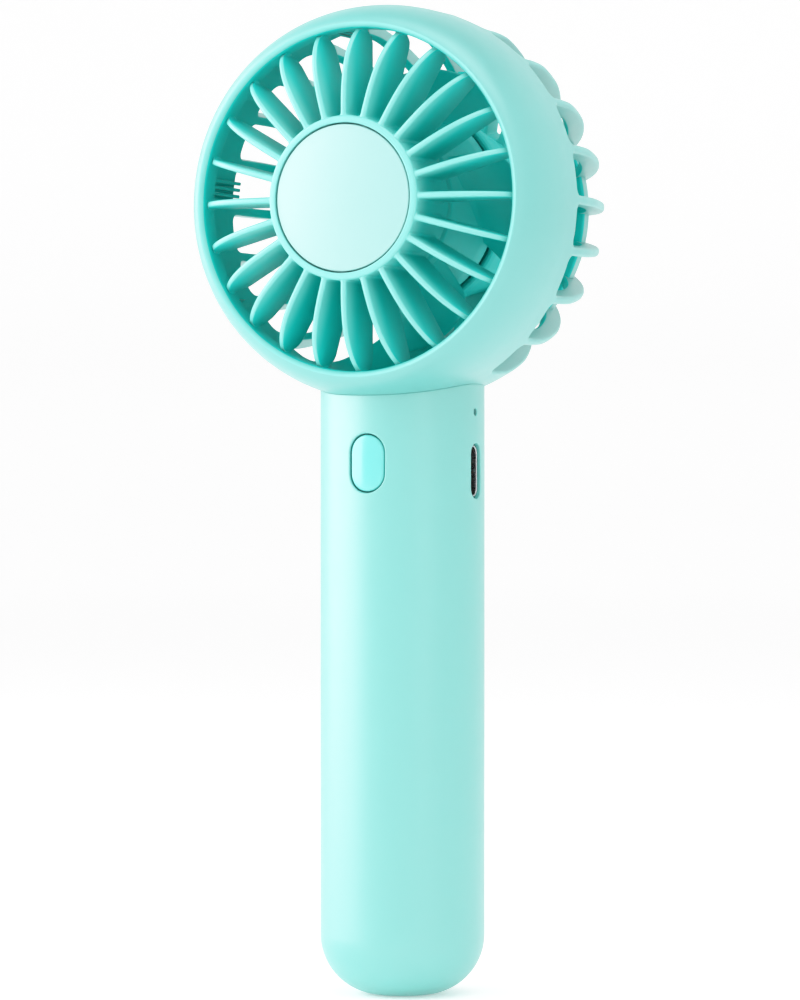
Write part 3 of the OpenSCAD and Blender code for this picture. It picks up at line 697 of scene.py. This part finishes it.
def impeller():
    m = Mesh()
    f = FLARE
    m.lathe(rounded([(0.0, 8.4), (12.4, 8.4, 0.3), (HUB_R + 0.30 * f - 1.4, 6.2, 3.0), (HUB_R + 0.60 * f - 1.4, 3.3, 3.0),
                     (HUB_R + 0.86 * f - 1.4, 0.8, 3.0), (HUB_R + f - 1.4, -1.0, 0.3), (HUB_R + f, -1.0, 0.3),
                     (HUB_R + 0.85 * f, 1.1, 4.0), (HUB_R + 0.58 * f, 3.6, 5.0), (HUB_R + 0.28 * f, 6.6, 5.0),
                     (HUB_R, 9.3, 1.0), (HUB_R - 0.9, 10.0, 0.7), (0.0, 10.02)], n=6, closed=False), 192, closed=False)
    m.lathe(rounded([(10.2, -5, 0.1), (11.3, -5, 0.1), (11.3, 8.6), (10.2, 8.6)], n=3), 96)
    m.lathe(rounded([(1.0, 2.2), (2.6, 2.2, 0.15), (2.6, 8.6), (1.0, 8.6)], n=3), 48)
    for i in range(5):
        phi = math.radians(20 + 72 * i)
        sec = [(11.0, -0.8), (HUB_R + f - 1, -0.8), (HUB_R + 0.58 * f - 1, 3.6), (HUB_R - 1, 8.6), (11.0, 8.6)]
        rows = [[(r * cos(phi) - x * sin(phi), -h, ZC + r * sin(phi) + x * cos(phi)) for r, h in sec] for x in (-0.5, 0.5)]
        m.grid(rows, wrap_u=True)
        m.add(rows[0], [tuple(range(5))])
        m.add(rows[-1], [tuple(range(5))])
    ns, nu = 28, 26
    us = [0.5 - 0.5 * cos(pi * k / nu) for k in range(nu + 1)]
    for i in range(BLADES):
        a0 = math.radians(i * 360 / BLADES)
        rows = []
        for j in range(ns + 1):
            x = j / ns
            s = 0.12 * x / 0.25 if x < 0.25 else 0.12 + 0.88 * (1 - (1 - (x - 0.25) / 0.75) ** 1.3)
            row = []
            for u in us:
                r, a, h = blade_pt(s, u, 1)
                row.append(hd(r, a + a0, h))
            for u in us[-2:0:-1]:
                r, a, h = blade_pt(s, u, -1)
                row.append(hd(r, a + a0, h))
            rows.append(row)
        # close the tip with a rounded edge
        base = rows[-1]
        n = len(base)
        mids = [tuple((base[k][c] + base[(n - k) % n][c]) / 2 for c in range(3)) for k in range(n)]
        for q, out in ((0.75, 0.10), (0.4, 0.2), (0.0, 0.26)):
            row = []
            for k in range(n):
                p = [mids[k][c] + (base[k][c] - mids[k][c]) * q for c in range(3)]
                rr = math.hypot(p[0], p[2] - ZC)
                row.append((p[0] * (rr + out) / rr, p[1], ZC + (p[2] - ZC) * (rr + out) / rr))
            rows.append(row)
        m.grid(rows, wrap_u=True)
    m.build("impeller_moulding", M_FAN, "rotor", ["impeller"])


impeller()


# ------------------------------------------------------------------ handle
def drum_radius(h):
    """Outer radius of the head at forward distance h."""
    if h > 6:
        return (29.5 + 4.5 * math.sqrt(max(0, 1 - ((h - 6) / 12.9) ** 2))) * HEAD_R / 34
    return float(np.interp(-h, -_e[:, 1], _e[:, 0]))


def seat_z(r, th, gap=0.03):
    """Height where the handle's wall meets the head."""
    x, y = r * cos(th), r * sin(th)
    return ZC - math.sqrt((drum_radius(-y) + gap) ** 2 - x * x)


def capsule_hit(u, z, half):
    """Nearest point of the vertical segment of half length, and the unit direction from it."""
    c = max(-half, min(half, z))
    d = math.hypot(u, z - c)
    return c, u / d, (z - c) / d


COLS = [math.radians(2 * i) for i in range(180)]
WIN = [  # (centre column, half columns, row from, row to, centre u mm, centre z, capsule half length, radius)
    (135, 11, 84.0, 99.0, 0.0, BUT_Z, 1.75, 3.3),
    (0, 6, 84.0, 97.0, None, USB_Z, 2.95, 1.8),
    (0, 3, 99.0, 102.0, None, LED_Z, 0.0, 0.62),
]


def handle():
    m = Mesh()
    f_r = 10.4
    wall = 1.7
    rows_z = [float(z) for z in (16, 22, 28, 34, 40, 46, 52, 58, 64, 70, 76, 80, 82)] + \
             [84.0 + k for k in range(19)]
    for inner in (False, True):
        R = HR - (wall if inner else 0)
        q = f_r - (wall if inner else 0)
        rings = []
        base = Z0 + (wall if inner else 0)
        for k in range(1, 6):
            rings.append(((HR - f_r) * k / 5, base, None))
        for k in range(1, 25):
            a = pi / 2 * k / 24
            rings.append((HR - f_r + q * sin(a), Z0 + f_r - q * cos(a), None))
        rows = [[(r * cos(t), r * sin(t), z) for t in COLS] for r, z, _ in rings]
        n = len(COLS)
        m.add([(0, 0, base)] + rows[0], [(0, 1 + i, 1 + (i + 1) % n) for i in range(n)])
        for z in rows_z:
            rows.append([(R * cos(t), R * sin(t), z) for t in COLS])
        top = []
        for k in (1, 2, 3):
            top.append([(R * cos(t), R * sin(t), 102 + (seat_z(HR, t) - 0.08 - 102) * k / 3) for t in COLS])
        rows += top
        if not inner:
            for k in range(1, 6):  # rounded top edge
                a = pi / 2 * k / 5
                rr = HR - 0.08 * (1 - cos(a))
                rows.append([(rr * cos(t), rr * sin(t), seat_z(HR, t) - 0.08 + 0.08 * sin(a)) for t in COLS])
            rim_out = rows[-1]
        else:
            rim_in = [(R * cos(t), R * sin(t), seat_z(HR, t)) for t in COLS]
            rows.append(rim_in)
        # skip the windows
        j0 = len(rings)
        zs = [r[0][2] for r in rows]
        skip = set()
        for ci, hc, za, zb, *_ in WIN:
            ja, jb = zs.index(za), zs.index(zb)
            for j in range(ja, jb):
                for i in range(ci - hc, ci + hc):
                    skip.add((j, i % n))
        faces = []
        for j in range(len(rows) - 1):
            for i in range(n):
                if (j, i) in skip:
                    continue
                faces.append((j * n + i, j * n + (i + 1) % n, (j + 1) * n + (i + 1) % n, (j + 1) * n + i))
        m.add([p for r in rows for p in r], faces)
    m.grid([rim_out, rim_in], wrap_u=True)
    # holes
    for ci, hc, za, zb, uc, zc, half, rad in WIN:
        tc = COLS[ci % 180] if ci else 0.0
        loop = []
        zr = [z for z in rows_z if za <= z <= zb]
        cols = list(range(ci - hc, ci + hc + 1))
        ang = lambda i: math.radians(2 * i)
        loop += [(ang(i), za) for i in cols[:-1]]
        loop += [(ang(cols[-1]), z) for z in zr[:-1]]
        loop += [(ang(i), zb) for i in cols[:0:-1]]
        loop += [(ang(cols[0]), z) for z in zr[:0:-1]]
        u0 = 0.0 if uc is not None else (USB_Y if half > 1 else LED_Y)
        rnd = 0.28 if half > 0 and uc is not None else (0.2 if half > 0 else 0.12)
        rings = []

        def point(R, u, z):
            # u is the offset across the hole, so that its walls stay parallel
            if uc is None:                       # on the +X side
                return (math.sqrt(max(0, R * R - u * u)), u, z)
            return (u, -math.sqrt(max(0, R * R - u * u)), z)

        def border_pt(R, t, z):
            return (R * cos(t), R * sin(t), z)

        def across(R, t):
            return R * sin(t) if uc is None else R * cos(t)

        inner_R = HR - wall
        hit = []
        for t, z in loop:
            c, du, dz = capsule_hit(across(HR, t) - u0, z - zc, half)
            hit.append((c, du, dz))
        rings.append([border_pt(HR, t, z) for t, z in loop])
        for f in (0.3, 0.6, 0.85):
            row = []
            for (t, z), (c, du, dz) in zip(loop, hit):
                u1, z1 = u0 + du * (rad + rnd), zc + c + dz * (rad + rnd)
                row.append(point(HR, across(HR, t) * (1 - f) + u1 * f, z * (1 - f) + z1 * f))
            rings.append(row)
        for k in range(6):
            a = pi / 2 * k / 5
            off, dep = rnd * (1 - sin(a)), rnd * (1 - cos(a))
            rings.append([point(HR - dep, u0 + du * (rad + off), zc + c + dz * (rad + off)) for c, du, dz in hit])
        for f in (0.33, 0.66, 1.0):
            RR = HR - rnd - (wall - rnd) * f
            rings.append([point(RR, u0 + du * rad, zc + c + dz * rad) for c, du, dz in hit])
        for f in (0.5, 1.0):
            row = []
            for (t, z), (c, du, dz) in zip(loop, hit):
                u1, z1 = u0 + du * rad, zc + c + dz * rad
                if f == 1.0:
                    row.append(border_pt(inner_R, t, z))
                else:
                    row.append(point(inner_R, across(inner_R, t) * f + u1 * (1 - f), z * f + z1 * (1 - f)))
            rings.append(row)
        m.grid(rings, wrap_u=True)
    m.build("handle_tube", M_BODY, "housing", ["handle_shell"])


handle()


def capsule_loop(half, r, n=16):
    """Points round an upright capsule as (u, z)."""
    pts = []
    for k in range(n + 1):
        a = pi * k / n
        pts.append((r * cos(a), half + r * sin(a)))
    for k in range(1, 8):
        pts.append((-r, half - 2 * half * k / 8))
    for k in range(n + 1):
        a = pi + pi * k / n
        pts.append((r * cos(a), -half + r * sin(a)))
    for k in range(1, 8):
        pts.append((r, -half + 2 * half * k / 8))
    return pts


def button():
    m = Mesh()
    lo_, hi_ = mm("power_button")
    half, r = 1.75, 3.1
    rnd = 0.45
    rings = []

    def face(u, lam):
        return -(math.sqrt((HR - 0.04) ** 2 - u * u)) - 0.10 * (1 - lam * lam) + 0.06

    for lam in np.linspace(0.0, 1.0, 10):
        rr = (r - rnd) * lam
        rings.append([(u, face(u, lam), BUT_Z + z) for u, z in capsule_loop(half, max(rr, 1e-6))])
    for k in range(1, 7):
        a = pi / 2 * k / 6
        rr = r - rnd + rnd * sin(a)
        rings.append([(u, face(u, 1) + rnd * (1 - cos(a)), BUT_Z + z) for u, z in capsule_loop(half, rr)])
    yb = -11.4
    for f in (0.5, 1.0):
        rings.append([(u, (face(u, 1) + rnd) * (1 - f) + yb * f, BUT_Z + z) for u, z in capsule_loop(half, r)])
    for rr, y in ((r + 0.7, yb), (r + 0.8, yb + 0.1), (r + 0.8, -10.7), (r + 0.7, -10.6), (1.4, -10.6)):
        rings.append([(u, y, BUT_Z + z) for u, z in capsule_loop(half if rr > 1.5 else 0.0, rr)])
    for rr, y in ((1.4, -9.95), (1.3, -9.84), (1e-6, -9.84)):
        rings.append([(u, y, BUT_Z + z) for u, z in capsule_loop(0.0, rr)])
    m.grid(rings, wrap_u=True)
    m.build("power_button_key", M_BUTTON, "button", ["power_button"])


button()


def port():
    m = Mesh()
    half, ro, ri = 2.87, 1.6, 1.28
    rings = []
    for r, x in ((1e-6, USB_X0), (ro - 0.15, USB_X0), (ro, USB_X0 + 0.15), (ro, USB_X1 - 0.12), (ro - 0.04, USB_X1 - 0.04),
                 (ro - 0.12, USB_X1), (ri + 0.12, USB_X1), (ri + 0.03, USB_X1 - 0.04), (ri, USB_X1 - 0.14),
                 (ri, USB_X0 + 1.3), (ri - 0.1, USB_X0 + 1.2), (1e-6, USB_X0 + 1.2)):
        rings.append([(x, USB_Y + u, USB_Z + z) for u, z in capsule_loop(half, r)])
    m.grid(rings, wrap_u=True)
    m.build("usb_shell_drawn", M_PORT, "housing", ["usb_shell"])

    lo_, hi_ = mm("usb_tongue")
    t = Mesh()
    x0, x1 = lo_[0] + 1.0, hi_[0]
    hz, hy = 3.35, 0.35

    def ring(x, k, e):
        sec = rounded([(-hy * k, -hz + e, 0.12), (hy * k, -hz + e, 0.12), (hy * k, hz - e, 0.12), (-hy * k, hz - e, 0.12)], n=3)
        return [(x, USB_Y + a, USB_Z + b) for a, b in sec]
    rows = [ring(x0, 1, 0), ring(x1 - 0.5, 1, 0), ring(x1 - 0.12, 0.72, 0.12), ring(x1, 0.45, 0.35)]
    t.grid(rows, wrap_u=True)
    t.add(rows[0], [tuple(range(len(rows[0])))])
    t.add(rows[-1], [tuple(range(len(rows[0])))])
    sec = rounded([(-1.1, -3.0, 0.2), (1.1, -3.0, 0.2), (1.1, 3.0, 0.2), (-1.1, 3.0, 0.2)], n=3)
    rows = [[(x, USB_Y + a, USB_Z + b) for a, b in sec] for x in (lo_[0], lo_[0] + 1.0)]
    t.grid(rows, wrap_u=True)
    t.add(rows[0], [tuple(range(len(sec)))])
    t.add(rows[-1], [tuple(range(len(sec)))])
    t.build("usb_tongue_moulding", M_BLACK, "housing", ["usb_tongue"])

    g = Mesh()
    for s in (-1, 1):
        for k in range(12):
            z = USB_Z - 2.75 + 0.5 * k
            y0, y1 = USB_Y + s * 0.33, USB_Y + s * 0.385
            sec = rounded([(z - 0.13, min(y0, y1), 0.02), (z + 0.13, min(y0, y1), 0.02), (z + 0.13, max(y0, y1), 0.02),
                           (z - 0.13, max(y0, y1), 0.02)], n=2)
            rows = [[(x, y, zz) for zz, y in sec] for x in (x0 + 0.4, x1 - 0.75)]
            g.grid(rows, wrap_u=True)
            g.add(rows[0], [tuple(range(len(sec)))])
            g.add(rows[-1], [tuple(range(len(sec)))])
    g.build("usb_contacts", M_GOLD, "housing")

    le = Mesh()
    lo_, hi_ = mm("led_lens")
    rows = []
    for r, x in ((1e-6, lo_[0]), (0.9, lo_[0]), (0.95, lo_[0] + 0.06), (0.95, lo_[0] + 0.84), (0.9, lo_[0] + 0.9), (0.6, lo_[0] + 0.95),
                 (0.6, hi_[0] - 0.2), (0.56, hi_[0] - 0.1), (0.42, hi_[0] - 0.03), (0.22, hi_[0]), (1e-6, hi_[0])):
        rows.append([(x, LED_Y + r * cos(2 * pi * i / 32), LED_Z + r * sin(2 * pi * i / 32)) for i in range(32)])
    le.grid(rows, wrap_u=True)
    le.build("led_light_pipe", M_LENS, "housing", ["led_lens"])


port()

# ------------------------------------------------- materials of the CAD nodes
LOOK = {
    "rotor_can": M_STEEL, "magnet_ring": M_FERRITE, "motor_shaft": M_STEEL, "shaft_clip": M_STEEL,
    "front_bearing": M_STEEL, "rear_bearing": M_STEEL, "motor_base": M_ALLOY, "stator_core": M_LAMIN,
    "motor_windings": M_COPPER, "motor_board": M_BOARD, "motor_screws": M_STEEL, "inner_frame": M_WHITE,
    "circuit_board": M_BOARD, "board_chips": M_BLACK, "board_screws": M_STEEL, "tact_switch": M_BLACK,
    "switch_plunger": M_WHITE, "charge_led": M_WHITE, "battery_cell": M_CELL, "battery_insulator": M_PAPER,
    "battery_tabs": M_PORT, "battery_lead_red": M_RED, "battery_lead_black": M_DARK,
    "motor_lead_red": M_RED, "motor_lead_black": M_DARK, "foam_pads": M_FOAM, "neck_screws": M_STEEL,
}
for name, mat in LOOK.items():
    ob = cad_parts[name]
    ob.data.materials.clear()
    ob.data.materials.append(mat)

# --------------------------------------------------------- stage and camera
def floor():
    me = bpy.data.meshes.new("floor")
    bm = bmesh.new()
    prof = [(0.0, 0.0), (0.06, 0.0), (0.3, 0.0), (1.2, 0.0), (3.5, 0.0), (4.0, 0.06), (4.35, 0.25), (4.5, 0.6), (4.5, 5.0)]
    n = 96
    rings = []
    for r, z in prof[1:]:
        rings.append([bm.verts.new((r * cos(2 * pi * i / n), r * sin(2 * pi * i / n), z)) for i in range(n)])
    c = bm.verts.new((0, 0, 0))
    for i in range(n):
        bm.faces.new((c, rings[0][i], rings[0][(i + 1) % n]))
    for a, b in zip(rings, rings[1:]):
        for i in range(n):
            bm.faces.new((a[i], b[i], b[(i + 1) % n], a[(i + 1) % n]))
    bmesh.ops.recalc_face_normals(bm, faces=bm.faces)
    bmesh.ops.reverse_faces(bm, faces=bm.faces)
    for f in bm.faces:
        f.smooth = True
    bm.to_mesh(me)
    bm.free()
    ob = bpy.data.objects.new("floor", me)
    bpy.context.scene.collection.objects.link(ob)
    mat = bpy.data.materials.new("floor_white")
    nt, bs = nodes_of(mat)
    bs.inputs["Base Color"].default_value = (0.92, 0.92, 0.92, 1)
    bs.inputs["Roughness"].default_value = 0.9
    bs.inputs["Emission Color"].default_value = (1, 1, 1, 1)
    bs.inputs["Emission Strength"].default_value = 0.31
    me.materials.append(mat)


floor()

world = bpy.data.worlds.new("studio")
bpy.context.scene.world = world
world.use_nodes = True
world.node_tree.nodes["Background"].inputs["Color"].default_value = (1, 1, 1, 1)
world.node_tree.nodes["Background"].inputs["Strength"].default_value = 0.5


def area(name, loc, target, size, power, color=(1, 1, 1)):
    li = bpy.data.lights.new(name, "AREA")
    li.shape = "RECTANGLE"
    li.size, li.size_y = size
    li.energy = power
    li.color = color
    ob = bpy.data.objects.new(name, li)
    bpy.context.scene.collection.objects.link(ob)
    ob.location = loc
    ob.rotation_euler = (Vector(target) - Vector(loc)).to_track_quat("-Z", "Y").to_euler()
    return ob


mid = (0, 0, 0.09)


def lamp_at(name, rel, dist, z, size, power, target=mid):
    """A lamp at an angle from the camera's side, positive to the right of the view."""
    a = math.radians(25.9 + rel)
    area(name, (dist * sin(a), -dist * cos(a), z), target, size, power)


lamp_at("side_left", -92, 0.85, 0.26, (1.1, 1.0), 11.9)
lamp_at("top", 15, 0.3, 0.82, (0.7, 0.7), 4.0, (0, 0, 0.13))
lamp_at("strip_right", 30, 1.0, 0.12, (0.12, 1.2), 0.8)

AZ = math.radians(25.9)
D = 0.729
cam = bpy.data.cameras.new("camera")
cam.lens = 151.7
cam.sensor_width = 36
cam.sensor_fit = "AUTO"
cam.shift_x = -0.00256
cam.clip_start = 0.01
cam.clip_end = 50
co = bpy.data.objects.new("camera", cam)
bpy.context.scene.collection.objects.link(co)
co.location = (D * sin(AZ), -D * cos(AZ), 0.08533)
co.rotation_euler = (pi / 2, 0, AZ)
bpy.context.scene.camera = co
vs = bpy.context.scene.view_settings
vs.view_transform = "Standard"
vs.look = "None"
vs.exposure = 0.0
vs.gamma = 1.0
# a soft shoulder on the highlights, straight below 0.6
vs.use_curve_mapping = True
cu = vs.curve_mapping
cu.white_level = (1.3, 1.3, 1.3)
for x, y in ((0.6, 0.6), (0.85, 0.80), (1.08, 0.93)):
    cu.curves[3].points.new(x / 1.3, y)
cu.update()
bpy.context.scene.cycles.max_bounces = 12
bpy.context.scene.cycles.diffuse_bounces = 8
